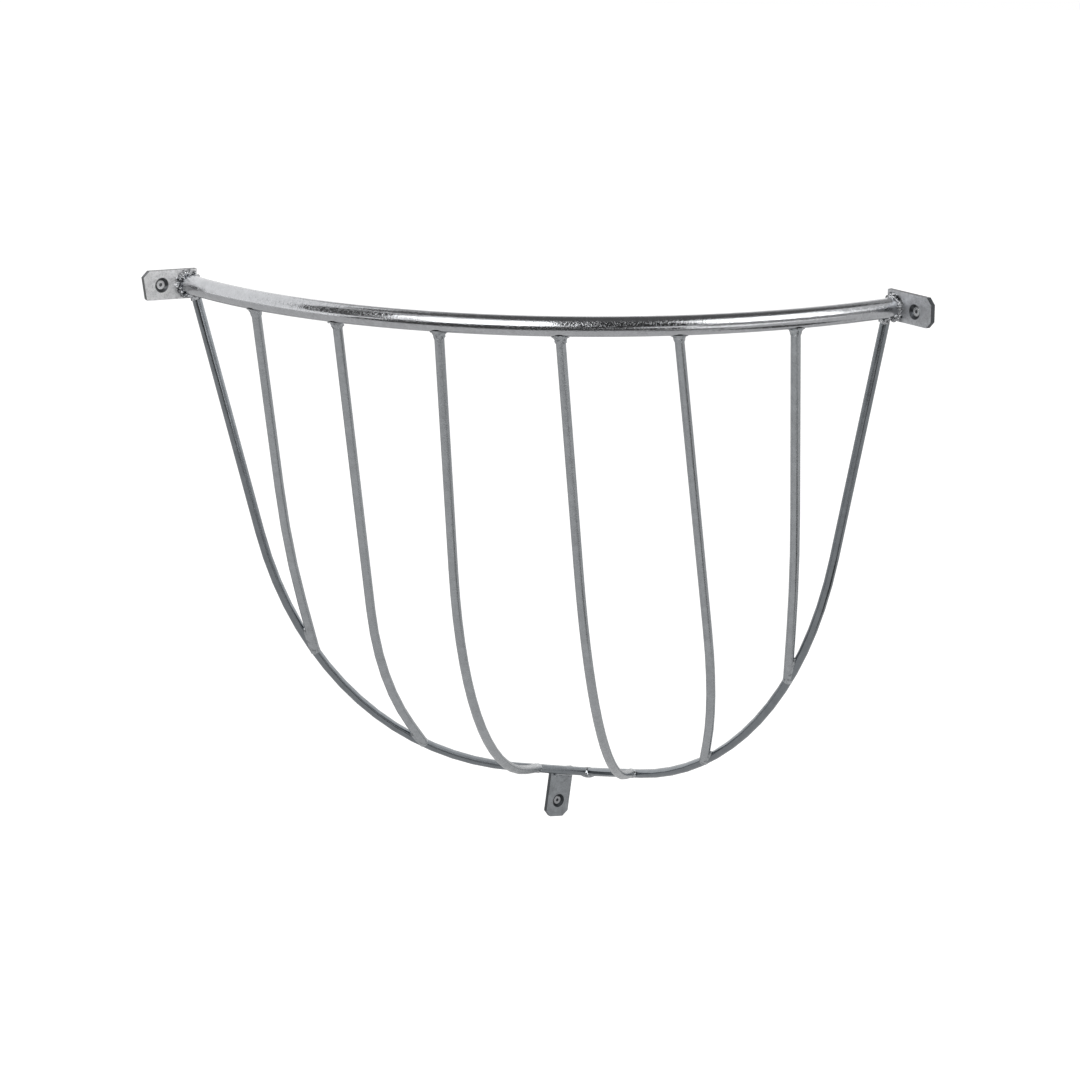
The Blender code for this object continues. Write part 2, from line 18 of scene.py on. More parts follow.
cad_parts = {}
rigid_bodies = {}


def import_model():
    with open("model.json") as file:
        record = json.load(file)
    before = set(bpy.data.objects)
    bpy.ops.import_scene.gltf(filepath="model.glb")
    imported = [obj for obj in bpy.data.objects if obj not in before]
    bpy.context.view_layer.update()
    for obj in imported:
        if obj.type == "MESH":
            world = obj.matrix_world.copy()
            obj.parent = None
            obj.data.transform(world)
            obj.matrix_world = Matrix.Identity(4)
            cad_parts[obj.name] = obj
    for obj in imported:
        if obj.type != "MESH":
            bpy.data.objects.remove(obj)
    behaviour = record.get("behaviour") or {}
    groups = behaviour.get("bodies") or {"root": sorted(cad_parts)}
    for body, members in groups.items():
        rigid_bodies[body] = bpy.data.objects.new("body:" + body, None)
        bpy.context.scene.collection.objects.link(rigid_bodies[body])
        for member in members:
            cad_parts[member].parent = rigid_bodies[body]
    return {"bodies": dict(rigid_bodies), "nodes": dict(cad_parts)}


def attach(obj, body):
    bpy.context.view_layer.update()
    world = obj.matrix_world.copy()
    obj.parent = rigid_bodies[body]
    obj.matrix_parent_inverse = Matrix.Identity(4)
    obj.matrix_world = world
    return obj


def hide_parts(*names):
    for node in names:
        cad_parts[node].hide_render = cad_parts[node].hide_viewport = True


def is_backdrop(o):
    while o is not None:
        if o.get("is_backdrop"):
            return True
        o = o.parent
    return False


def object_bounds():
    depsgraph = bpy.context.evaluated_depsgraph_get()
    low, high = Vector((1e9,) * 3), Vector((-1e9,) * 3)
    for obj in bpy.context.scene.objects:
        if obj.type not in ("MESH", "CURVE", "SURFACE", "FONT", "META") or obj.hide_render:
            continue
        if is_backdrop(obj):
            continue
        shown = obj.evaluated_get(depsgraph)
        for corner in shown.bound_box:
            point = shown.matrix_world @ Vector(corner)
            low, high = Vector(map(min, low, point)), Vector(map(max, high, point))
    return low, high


bl_info = {
    "name": "Corner Hay Rack",
    "version": (1, 0, 0),
    "blender": (4, 5, 0),
    "location": "3D Viewport > Sidebar > Hay Rack",
    "description": "Finishes a welded corner hay rack and sets up a studio round it",
    "category": "Object",
}

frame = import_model()
NODES = frame["nodes"]
BODY = next(iter(frame["bodies"]))
SIDES = ("left", "right")
PAIRS = ("inner", "middle", "outer")
PLACES = ("left", "right", "bottom")

# Points closer than this are one point
MERGE_DISTANCE = 0.000001
# Shading is smooth across edges below the first angle, and tabs are rounded above the second
SMOOTH_BELOW = math.radians(32)
SOFTEN_ABOVE = math.radians(40)
# Smallest and largest lump of a weld, as shares of the radius that its settings name
LUMP_SHARES = (0.55, 1.15)
# Least distance between lumps and between beads, in the same radii
LUMP_SPACING = 1.1
BEAD_SPACING = 2.0
# How far a bead stands out, as a share of its own radius
BEAD_RISE = 0.45
# Random tries for each spot that has room on a weld
TRIES_PER_SPOT = 12

Screw = namedtuple("Screw", "tip out length head shank point")


def colour_property(name, default, description):
    """A colour, as a surface shows it in plain white light."""
    return FloatVectorProperty(
        name=name, default=default, description=description, subtype="COLOR", min=0.0, max=1.0)


def length_property(name, default, description):
    """A length in metres."""
    return FloatProperty(
        name=name, default=default, description=description, unit="LENGTH",
        subtype="DISTANCE", min=0.0, precision=5)


def place_property(name, default, description):
    """Three lengths in metres."""
    return FloatVectorProperty(
        name=name, default=default, description=description, unit="LENGTH", subtype="XYZ",
        precision=5)


def share_property(name, default, description, most=1.0):
    """A share or a strength without a unit."""
    return FloatProperty(name=name, default=default, description=description, min=0.0, max=most)


class ZincSettings(bpy.types.PropertyGroup):
    """Colours and textures of the zinc coating"""
    tube_colour: colour_property("Tube", (0.58, 0.59, 0.61), "Bright zinc on the top rail")
    wall_rod_colour: colour_property("Wall rods", (0.28, 0.30, 0.32), "Zinc on the wall rods")
    bar_colour: colour_property("Bars", (0.48, 0.50, 0.52), "Dull zinc on the bars")
    left_tab_colour: colour_property("Left tab", (0.98, 0.98, 0.99), "Bright zinc")
    right_tab_colour: colour_property("Right tab", (0.52, 0.53, 0.55), "Mottled zinc")
    bottom_tab_colour: colour_property("Bottom tab", (0.40, 0.42, 0.44), "Dull zinc")
    weld_colour: colour_property("Welds", (0.50, 0.52, 0.54), "Zinc over the weld beads")
    left_screw_colour: colour_property("Left screw", (0.90, 0.90, 0.91), "Bright plating")
    right_screw_colour: colour_property("Right screw", (0.72, 0.73, 0.74), "Plating")
    bottom_screw_colour: colour_property("Bottom screw", (0.50, 0.51, 0.53), "Dull plating")
    # Colour of the pits, also used for the painted shade in the holes and sockets and for the
    # darker sheared edges
    pit_and_shade_colour: colour_property("Pits", (0.05, 0.055, 0.06), "Soot and shade left in pits")
    spangle_size: length_property("Spangle", 0.0035, "Width of one zinc crystal")
    wave_size: length_property("Waves", 0.030, "Length of the slow waves in the coating")
    patch_size: length_property("Patches", 0.012, "Width of the dull and bright patches")
    pit_size: length_property("Pits", 0.0016, "Spacing of the fine pits")
    # Spacing of the dark spots of the pits' colour on the welds
    dark_spot_size: length_property("Soot", 0.0042, "Spacing of the dark spots on the welds")
    # Strengths of the painted shade in the tabs' countersunk holes and in the screws' sockets
    left_hole_shade: share_property("Left hole", 0.50, "How dark the left tab's hole is")
    right_hole_shade: share_property("Right hole", 0.60, "How dark the right tab's hole is")
    bottom_hole_shade: share_property("Bottom hole", 0.85, "How dark the bottom tab's hole is")
    socket_shade: share_property("Sockets", 0.85, "How dark the screws' sockets are")
    edge_share: share_property("Edge shade", 0.88, "How dark the tabs' sheared edges are")


class WeldSettings(bpy.types.PropertyGroup):
    """Sizes of the lumps on the welds"""
    voxel: length_property("Voxel", 0.00045, "Fineness of the weld meshes")
    end_lump: length_property("End lumps", 0.0029, "Radius of the lumps at the rail's ends")
    rod_lump: length_property("Rod lumps", 0.0014, "Radius of the lumps on the wall rods' ends")
    bar_lump: length_property("Bar lumps", 0.0012, "Radius of the lumps at the bars' ends")
    swelling: place_property("Swelling", (0.0100, 0.0066, 0.0062),
                             "Half sizes of the swelling where the wall rods meet")
    swelling_place: place_property("Swelling place", (0.0010, -0.0022, 0.0),
                                   "Middle of the swelling")
    drop: length_property("Drop", 0.0036, "Radius of the drop in front of it")
    drop_place: place_property("Drop place", (0.0020, -0.0060, -0.0010), "Middle of the drop")
    grain_size: length_property("Grain size", 0.0015, "Width of the fine unevenness")
    grain_height: length_property("Grain height", 0.0003, "Height of the fine unevenness")


class ScrewSettings(bpy.types.PropertyGroup):
    """Sizes of the screws"""
    pitch: length_property("Pitch", 0.0010, "Distance from one thread to the next")
    depth: length_property("Thread depth", 0.0006, "Depth of the thread")
    socket_width: length_property("Socket width", 0.0030, "Width across the socket's flats")
    socket_depth: length_property("Socket depth", 0.0014, "Depth of the socket")
    edge: length_property("Edge", 0.0002, "Radius of the head's edges")
    sides: IntProperty(name="Sides", default=48, min=12, description="Points round one turn")


class TabSettings(bpy.types.PropertyGroup):
    """Sizes of the tabs' finish"""
    edge: length_property("Edge", 0.0013, "Width of the rounded edges")
    hole_radius: length_property("Hole radius", 0.0078, "How far the shade of the hole reaches")


class StudioSettings(bpy.types.PropertyGroup):
    """The floor, the lights and the camera"""
    lens: FloatProperty(
        name="Lens", default=112.607, description="Focal length of the camera in millimetres",
        unit="CAMERA", min=1.0)
    distance: length_property("Distance", 3.5042, "From the camera to its target")
    bearing: FloatProperty(
        name="Bearing", default=math.radians(9.783), description="How far right the camera stands",
        subtype="ANGLE", unit="ROTATION")
    height: FloatProperty(
        name="Height angle", default=math.radians(15.269), subtype="ANGLE", unit="ROTATION",
        description="How far the camera stands above the rack")
    target: FloatVectorProperty(
        name="Target", default=(-0.00609, -0.28395, 0.35084), subtype="TRANSLATION",
        unit="LENGTH", description="Point that the camera looks at")
    floor_depth: length_property("Floor", 0.45, "How far the floor lies below the rack's corner")
    floor_colour: colour_property("Floor", (0.80, 0.80, 0.80), "Plain pale floor")
    floor_glow: share_property("Floor glow", 0.45, "Own light of the floor, as it is seen")
    world_level: share_property("World", 0.75, "Light that the surround gives", most=4.0)


def settings():
    """All settings of the scene."""
    return bpy.context.scene.hay_rack


class HayRackSettings(bpy.types.PropertyGroup):
    """Every setting of the hay rack"""
    zinc: PointerProperty(type=ZincSettings)
    weld: PointerProperty(type=WeldSettings)
    screw: PointerProperty(type=ScrewSettings)
    tab: PointerProperty(type=TabSettings)
    studio: PointerProperty(type=StudioSettings)


# Node helpers
def add(tree, kind, x, y, **values):
    """Add a node, and set its attributes."""
    node = tree.nodes.new(kind)
    node.location = (x, y)
    for key, value in values.items():
        setattr(node, key, value)
    return node


def put(node, **values):
    """Set sockets of a node by their names, with spaces written as underscores."""
    for key, value in values.items():
        node.inputs[key.replace("_", " ")].default_value = value


def feed(tree, socket, value):
    """Link a socket to another one, or give it a plain value."""
    if isinstance(value, bpy.types.NodeSocket):
        tree.links.new(value, socket)
    else:
        socket.default_value = value


def maths(tree, x, y, operation, *values, **choices):
    """A math node on sockets or numbers, and its result."""
    node = add(tree, "ShaderNodeMath", x, y, operation=operation, **choices)
    for socket, value in zip(node.inputs, values):
        feed(tree, socket, value)
    return node.outputs[0]


def vector_maths(tree, x, y, operation, *values, scale=None):
    """A math node on vectors, and its result, which is a vector or a number."""
    node = add(tree, "ShaderNodeVectorMath", x, y, operation=operation)
    for socket, value in zip(node.inputs, values):
        feed(tree, socket, value)
    if scale:
        feed(tree, node.inputs["Scale"], scale)
    return node.outputs["Value" if operation in ("DOT_PRODUCT", "LENGTH") else "Vector"]


def ranged(tree, x, y, source, low, high, start=0.0, end=1.0):
    """Spread a value that goes from start to end over a new range."""
    node = add(tree, "ShaderNodeMapRange", x, y)
    put(node, To_Min=low, To_Max=high)
    feed(tree, node.inputs["Value"], source)
    feed(tree, node.inputs["From Min"], start)
    feed(tree, node.inputs["From Max"], end)
    return node.outputs["Result"]


def mixed(tree, x, y, amount, first, second, blend="MIX"):
    """Mix two colours. Each of the three is a value or a socket."""
    node = add(tree, "ShaderNodeMix", x, y, data_type="RGBA", blend_type=blend)
    ends = {socket.identifier: socket for socket in (*node.inputs, *node.outputs)}
    for key, value in (("Factor_Float", amount), ("A_Color", first), ("B_Color", second)):
        feed(tree, ends[key], (*value, 1.0) if isinstance(value, tuple) else value)
    return ends["Result_Color"]


def summed(tree, x, y, *parts):
    """Add heights together, each with its own factor."""
    total = 0.0
    for index, (source, factor) in enumerate(parts):
        total = maths(tree, x + 160 * index, y, "MULTIPLY_ADD", source, factor, total)
    return total


# Shared effects
def new_group(name, inputs, outputs):
    """Start a shader group with float inputs and float outputs."""
    tree = bpy.data.node_groups.new(name, "ShaderNodeTree")
    for label, value, low, high in inputs:
        socket = tree.interface.new_socket(label, in_out="INPUT", socket_type="NodeSocketFloat")
        socket.default_value = value
        socket.min_value = low
        socket.max_value = high
    for label in outputs:
        tree.interface.new_socket(label, in_out="OUTPUT", socket_type="NodeSocketFloat")
    return tree, add(tree, "NodeGroupInput", -900, 0), add(tree, "NodeGroupOutput", 700, 0)


def place_and_scale(tree, entry):
    """A point's place on the object, and a texture's scale for the group's size."""
    place = add(tree, "ShaderNodeTexCoord", -900, -250)
    return place.outputs["Object"], maths(tree, -700, 60, "DIVIDE", 1.0, entry.outputs["Size"])


def noise(tree, x, y, place, scale, **values):
    """A noise texture at a place and a scale."""
    node = add(tree, "ShaderNodeTexNoise", x, y)
    put(node, **values)
    feed(tree, node.inputs["Vector"], place)
    feed(tree, node.inputs["Scale"], scale)
    return node


def spangle_group():
    """Zinc crystals: a random value for each, with crooked borders."""
    tree, entry, result = new_group(
        "zinc_spangle", [("Size", 0.0035, 0.0001, 1.0), ("Bend", 0.5, 0.0, 5.0)], ["Crystal"])
    place, scale = place_and_scale(tree, entry)
    bend = noise(tree, -500, -320, place, scale, Detail=2.0)
    centred = vector_maths(tree, -320, -320, "SUBTRACT", bend.outputs["Color"], (0.5, 0.5, 0.5))
    reach = maths(tree, -500, -120, "MULTIPLY", entry.outputs["Size"], entry.outputs["Bend"])
    shift = vector_maths(tree, -140, -320, "SCALE", centred, scale=reach)
    bent = vector_maths(tree, 20, -250, "ADD", place, shift)
    cells = add(tree, "ShaderNodeTexVoronoi", 200, 80)
    feed(tree, cells.inputs["Vector"], bent)
    feed(tree, cells.inputs["Scale"], scale)
    one = add(tree, "ShaderNodeSeparateColor", 380, 80)
    feed(tree, one.inputs["Color"], cells.outputs["Color"])
    feed(tree, result.inputs["Crystal"], one.outputs["Red"])
    return tree


def patch_group():
    """Dull and bright patches, from 0 to 1."""
    tree, entry, result = new_group(
        "zinc_patches", [("Size", 0.012, 0.0001, 1.0), ("Contrast", 1.0, 0.0, 4.0)], ["Patch"])
    middle = 0.5
    place, scale = place_and_scale(tree, entry)
    clouds = noise(tree, -400, 0, place, scale, Detail=5.0, Roughness=0.6, Distortion=0.4)
    centred = maths(tree, -200, 0, "SUBTRACT", clouds.outputs["Fac"], middle)
    stretched = maths(tree, 0, 0, "MULTIPLY", centred, entry.outputs["Contrast"])
    patch = maths(tree, 200, 0, "ADD", stretched, middle, use_clamp=True)
    feed(tree, result.inputs["Patch"], patch)
    return tree


def pit_group():
    """Fine pits and grit: a mask of the pits and a height."""
    tree, entry, result = new_group(
        "zinc_pits", [("Size", 0.0016, 0.0001, 1.0), ("Cover", 0.3, 0.0, 1.0)], ["Pit", "Height"])
    start_per_cover = 0.62
    rim = 0.14
    place, scale = place_and_scale(tree, entry)
    grit = noise(tree, -400, 0, place, scale, Detail=3.0, Roughness=0.55).outputs["Fac"]
    low = maths(tree, -400, -260, "MULTIPLY", entry.outputs["Cover"], start_per_cover)
    high = maths(tree, -220, -260, "ADD", low, rim)
    mask = ranged(tree, 0, 0, grit, 1.0, 0.0, start=low, end=high)
    feed(tree, result.inputs["Pit"], mask)
    feed(tree, result.inputs["Height"], maths(tree, 200, -200, "SUBTRACT", grit, mask))
    return tree


def wave_group():
    """Slow waves that bend reflections along a rod or a tube."""
    tree, entry, result = new_group("zinc_waves", [("Size", 0.03, 0.0001, 1.0)], ["Height"])
    place, scale = place_and_scale(tree, entry)
    waves = noise(tree, -400, 0, place, scale, Detail=2.0, Roughness=0.4)
    feed(tree, result.inputs["Height"], waves.outputs["Fac"])
    return tree


def mark_group():
    """Masks of what is near a screw's axis, where shade is painted, and of faces that turn from
    it.

    Hole is a point on the axis, Outward the axis's direction, and Start how far
    along it the first mask begins.
    """
    tree, entry, result = new_group(
        "screw_marks", [("Radius", 0.0078, 0.0, 1.0), ("Start", 0.0, 0.0, 1.0)], ["Well", "Edge"])
    for label in ("Hole", "Outward"):
        tree.interface.new_socket(label, in_out="INPUT", socket_type="NodeSocketVector")
    outward = entry.outputs["Outward"]
    surface = add(tree, "ShaderNodeNewGeometry", -900, -300)
    apart = vector_maths(
        tree, -600, 0, "SUBTRACT", surface.outputs["Position"], entry.outputs["Hole"])
    swing = vector_maths(tree, -400, 0, "CROSS_PRODUCT", apart, outward)
    reach = vector_maths(tree, -200, 0, "LENGTH", swing)
    inside = maths(tree, 0, 0, "LESS_THAN", reach, entry.outputs["Radius"])
    along = vector_maths(tree, -400, 200, "DOT_PRODUCT", apart, outward)
    beyond = maths(tree, 0, 200, "GREATER_THAN", along, entry.outputs["Start"])
    feed(tree, result.inputs["Well"], maths(tree, 200, 0, "MULTIPLY", inside, beyond))
    facing = vector_maths(tree, -600, -300, "DOT_PRODUCT", surface.outputs["Normal"], outward)
    turned = maths(tree, -400, -300, "ABSOLUTE", facing)
    turned_away = 0.78
    face_on = 0.99
    edge = ranged(tree, -200, -300, turned, 1.0, 0.0, start=turned_away, end=face_on)
    feed(tree, result.inputs["Edge"], edge)
    return tree


def group(name, build):
    """Find a node group, or build it the first time."""
    return bpy.data.node_groups.get(name) or build()


def place_group(tree, name, build, x, y, **values):
    """Place a shared group in a material with its own values."""
    node = add(tree, "ShaderNodeGroup", x, y, node_tree=group(name, build))
    put(node, **values)
    return node


# Materials
def new_material(name):
    """A material, its node tree and its shader."""
    material = bpy.data.materials.new(name)
    material.use_nodes = True
    return material, material.node_tree, material.node_tree.nodes["Principled BSDF"]


def zinc(name, colour, shine, spangle, patch, pits, waves, pit_size=None, cover=0.55):
    """A zinc coating.

    shine is the lowest and highest roughness. spangle, patch, pits and waves
    say how strong each effect is, and cover how much of the metal the pits take up.
    """
    found = bpy.data.materials.get(name)
    if found:
        return found
    look = settings().zinc
    material, tree, shader = new_material(name)
    shader.location = (700, 0)
    tree.nodes["Material Output"].location = (1000, 0)
    put(shader, Metallic=1.0)
    crystals = place_group(tree, "zinc_spangle", spangle_group, -900, 300, Size=look.spangle_size)
    clouds = place_group(tree, "zinc_patches", patch_group, -900, 60, Size=look.patch_size,
                         Contrast=2.0)
    grit = place_group(tree, "zinc_pits", pit_group, -900, -160,
                       Size=pit_size or look.pit_size, Cover=cover)
    slow = place_group(tree, "zinc_waves", wave_group, -900, -380, Size=look.wave_size)
    darker = tuple(channel * (1.0 - patch) for channel in colour)
    lighter = tuple(min(1.0, channel * (1.0 + patch)) for channel in colour)
    base = mixed(tree, -500, 200, clouds.outputs["Patch"], darker, lighter)
    flecks = ranged(tree, -700, 420, crystals.outputs["Crystal"], 1.0 - spangle, 1.0 + spangle)
    flecked = mixed(tree, -300, 260, 1.0, base, flecks, "MULTIPLY")
    depth = ranged(tree, -500, -120, grit.outputs["Pit"], 0.0, pits)
    pitted = mixed(tree, -100, 200, depth, flecked, tuple(look.pit_and_shade_colour))
    feed(tree, shader.inputs["Base Color"], pitted)
    rough = ranged(tree, -500, -20, clouds.outputs["Patch"], shine[1], shine[0])
    feed(tree, shader.inputs["Roughness"], rough)
    height = summed(
        tree, -300, -420, (slow.outputs["Height"], waves), (crystals.outputs["Crystal"], spangle),
        (grit.outputs["Height"], pits))
    bump = add(tree, "ShaderNodeBump", 450, -300)
    put(bump, Strength=0.6, Distance=0.0008)
    feed(tree, bump.inputs["Height"], height)
    feed(tree, shader.inputs["Normal"], bump.outputs["Normal"])
    return material


def tube_zinc():
    """Bright zinc with a fine spangle."""
    return zinc("zinc_on_tube", settings().zinc.tube_colour, shine=(0.03, 0.11), spangle=0.04,
                patch=0.06, pits=0.08, waves=0.9)


def wall_rod_zinc():
    """Grey zinc with some gloss."""
    return zinc("zinc_on_wall_rod", settings().zinc.wall_rod_colour, shine=(0.09, 0.19),
                spangle=0.01, patch=0.12, pits=0.04, waves=0.7)


def bar_zinc():
    """Dull grey zinc."""
    return zinc("zinc_on_bar", settings().zinc.bar_colour, shine=(0.16, 0.30), spangle=0.03,
                patch=0.10, pits=0.10, waves=0.8)


def weld_zinc():
    """Zinc over lumpy weld metal, with dark spots."""
    look = settings().zinc
    return zinc("zinc_on_weld", look.weld_colour, shine=(0.12, 0.26), spangle=0.03, patch=0.20,
                pits=0.45, waves=0.4, pit_size=look.dark_spot_size)


def end_weld_zinc():
    """Bright zinc over the welds at the rail's ends, with larger dark spots."""
    look = settings().zinc
    return zinc("zinc_on_end_weld", look.tube_colour, shine=(0.06, 0.16), spangle=0.04, patch=0.3,
                pits=1.0, waves=0.4, pit_size=look.dark_spot_size, cover=0.61)


def tab_zinc(name):
    """Mottled zinc, with painted shade in the screw's hole and darker sheared edges."""
    look = settings().zinc
    colour = getattr(look, name + "_colour")
    material = zinc("zinc_on_" + name, colour, shine=(0.28, 0.46), spangle=0.08, patch=0.16,
                    pits=0.22, waves=0.5)
    screw_name = name.replace("tab", "screw")
    screw = screw_sizes(screw_name)
    heights = [screw.out.dot(vertex.co - screw.tip) for vertex in NODES[name].data.vertices]
    middle = (min(heights) + max(heights)) / 2
    # How dark the painted shade in the countersunk hole is
    hole_shade = getattr(look, name.replace("tab", "hole_shade"))
    mark_round(
        material, screw_name, settings().tab.hole_radius, middle, hole_shade, look.edge_share)
    return material


def screw_zinc(name):
    """Smooth plating, with painted shade in the socket."""
    look = settings().zinc
    colour = getattr(look, name + "_colour")
    material = zinc("zinc_on_" + name, colour, shine=(0.24, 0.36), spangle=0.0, patch=0.08,
                    pits=0.06, waves=0.1)
    # The painted shade in the socket reaches a little past its corners
    past_corners = 0.62
    radius = past_corners * settings().screw.socket_width
    middle = screw_sizes(name).length / 2
    mark_round(material, name, radius, middle, look.socket_shade, 0.0)
    return material


def screw_sizes(name):
    """Axis and sizes of a packed screw. Its point ends where it is nearly at full width."""
    points = [vertex.co for vertex in NODES[name].data.vertices]
    side = 1 if name.startswith("right") else -1
    out = Vector((-side, -1, 0)).normalized()
    tip = min(points, key=out.dot)
    heights = [out.dot(point - tip) for point in points]
    widths = [(point - tip - out * height).length for point, height in zip(points, heights)]
    length = max(heights)
    shank = max(width for width, height in zip(widths, heights) if height < length / 2)
    nearly_full = 0.9 * shank
    point = min(height for width, height in zip(widths, heights) if width > nearly_full)
    return Screw(tip, out, length, max(widths), shank, point)


def mark_round(material, name, radius, start, painted_shade_share, edge_share):
    """Paint shade into a material round a screw's axis, and darken it on faces that turn from it.

    start is the height above the screw's tip from which the shade begins.
    """
    tree = material.node_tree
    shader = tree.nodes["Principled BSDF"]
    screw = screw_sizes(name)
    # The pits' colour is used here for the painted shade in the recess and for the darker edges
    shade_colour = tuple(settings().zinc.pit_and_shade_colour)
    marks = place_group(tree, "screw_marks", mark_group, -100, 560, Hole=screw.tip,
                        Outward=screw.out, Radius=radius, Start=start)
    plain = shader.inputs["Base Color"].links[0].from_socket
    edge = ranged(tree, 100, 480, marks.outputs["Edge"], 0.0, edge_share)
    # Painted shade in the recess round the axis: the countersunk hole or the screw's socket
    painted_shade = ranged(tree, 100, 700, marks.outputs["Well"], 0.0, painted_shade_share)
    shaded = mixed(tree, 500, 500, painted_shade, mixed(tree, 300, 500, edge, plain, shade_colour), shade_colour)
    feed(tree, shader.inputs["Base Color"], shaded)


# Pieces
def new_object(name, data):
    """An object in the scene."""
    thing = bpy.data.objects.new(name, data)
    bpy.context.scene.collection.objects.link(thing)
    return thing


def dress(name, material):
    """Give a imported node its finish."""
    thing = NODES[name]
    thing.data.materials.clear()
    thing.data.materials.append(material)
    return thing


def smooth_group():
    """Shading that is smooth over round surfaces and sharp at edges."""
    tree = bpy.data.node_groups.new("smooth_by_angle", "GeometryNodeTree")
    tree.is_modifier = True
    for way in ("INPUT", "OUTPUT"):
        tree.interface.new_socket("Geometry", in_out=way, socket_type="NodeSocketGeometry")
    angle = tree.interface.new_socket("Angle", in_out="INPUT", socket_type="NodeSocketFloat")
    angle.default_value = SMOOTH_BELOW
    entry = add(tree, "NodeGroupInput", -900, 0)
    result = add(tree, "NodeGroupOutput", 300, 0)
    whole = add(tree, "GeometryNodeMergeByDistance", -700, 0)
    put(whole, Distance=MERGE_DISTANCE)
    plain = add(tree, "GeometryNodeRemoveAttribute", -500, 0)
    put(plain, Name="custom_normal")
    faces = add(tree, "GeometryNodeSetShadeSmooth", -300, 0, domain="FACE")
    edges = add(tree, "GeometryNodeSetShadeSmooth", 100, 0, domain="EDGE")
    chain = (entry, whole, plain, faces, edges, result)
    for before, after in zip(chain, chain[1:]):
        feed(tree, after.inputs["Geometry"], before.outputs["Geometry"])
    bend = add(tree, "GeometryNodeInputMeshEdgeAngle", -500, -250)
    gentle = add(tree, "FunctionNodeCompare", -200, -250, operation="LESS_EQUAL")
    feed(tree, gentle.inputs["A"], bend.outputs["Unsigned Angle"])
    feed(tree, gentle.inputs["B"], entry.outputs["Angle"])
    feed(tree, edges.inputs["Shade Smooth"], gentle.outputs["Result"])
    return tree


def smooth(thing):
    """Shade a piece smooth between its sharp edges."""
    step = thing.modifiers.new("smooth_by_angle", "NODES")
    step.node_group = group("smooth_by_angle", smooth_group)


def soften(thing, width):
    """Round a piece's sharp edges, as a coating does."""
    step = thing.modifiers.new("soft_edges", "BEVEL")
    step.width = width
    step.segments = 2
    step.limit_method = "ANGLE"
    step.angle_limit = SOFTEN_ABOVE
    smooth(thing)


def new_piece(name, shape, material, slot, *nodes):
    """Make a piece of the scene from a bmesh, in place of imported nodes."""
    mesh = bpy.data.meshes.new(name)
    shape.to_mesh(mesh)
    shape.free()
    mesh.materials.append(material)
    piece = new_object(name, mesh)
    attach(piece, BODY)
    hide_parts(*nodes)
    return piece


def spots(shape, chance, spacing):
    """Points spread over a shape at least a spacing apart, with their normals."""
    faces = list(shape.faces)
    areas = [face.calc_area() for face in faces]
    tries = int(TRIES_PER_SPOT * sum(areas) / spacing ** 2)
    found = []
    for face in chance.choices(faces, areas, k=tries):
        first, second, third = (vertex.co for vertex in face.verts)
        out = math.sqrt(chance.random())
        across = chance.random()
        point = first * (1 - out) + second * out * (1 - across) + third * out * across
        if all((point - other).length > spacing for other, normal in found):
            found.append((point, face.normal.copy()))
    return found


def weld_shape(name, size=1.0):
    """A packed weld's mesh, and its middle, about which it is drawn to a size."""
    shape = bmesh.new()
    shape.from_mesh(NODES[name].data)
    bmesh.ops.remove_doubles(shape, verts=shape.verts, dist=MERGE_DISTANCE)
    bmesh.ops.triangulate(shape, faces=shape.faces)
    points = [vertex.co for vertex in shape.verts]
    middle = sum(points, Vector()) / len(points)
    bmesh.ops.scale(
        shape, vec=(size, size, size), space=Matrix.Translation(-middle), verts=shape.verts)
    return shape, middle


def add_lumps(name, shape, lump, rise, spacing, keep=lambda point, normal: True):
    """Set round lumps into a weld, where keep says so.

    rise says how far the lumps stand out, as a share of their radius. A radius
    is drawn for every spot, kept or not.
    """
    chance = random.Random(name)
    for point, normal in spots(shape, chance, spacing):
        radius = lump * chance.uniform(*LUMP_SHARES)
        centre = Matrix.Translation(point - normal * radius * (1 - rise))
        if keep(point, normal):
            bmesh.ops.create_icosphere(shape, subdivisions=2, radius=radius, matrix=centre)


def grain_texture():
    """Clouds for the fine unevenness of the lumps, made once."""
    texture = bpy.data.textures.get("weld_grain")
    if not texture:
        texture = bpy.data.textures.new("weld_grain", "CLOUDS")
        texture.noise_scale = settings().weld.grain_size
        texture.noise_depth = 1
    return texture


def melt(weld):
    """Melt a weld's lumps together, and make them a little uneven."""
    sizes = settings().weld
    fine = weld.modifiers.new("fine_mesh", "REMESH")
    fine.mode = "VOXEL"
    fine.voxel_size = sizes.voxel
    fine.use_smooth_shade = True
    ease = weld.modifiers.new("ease", "SMOOTH")
    ease.factor = 0.5
    ease.iterations = 2
    grain = weld.modifiers.new("grain", "DISPLACE")
    grain.texture = grain_texture()
    grain.texture_coords = "GLOBAL"
    grain.strength = sizes.grain_height
    grain.mid_level = 0.5


def lumpy(name, lump, rise):
    """A weld of overlapping lumps, grown on a packed weld and melted together."""
    shape, _ = weld_shape(name)
    add_lumps(name, shape, lump, rise, LUMP_SPACING * lump)
    melt(new_piece(name + "_lumps", shape, end_weld_zinc(), "zinc_weld", name))


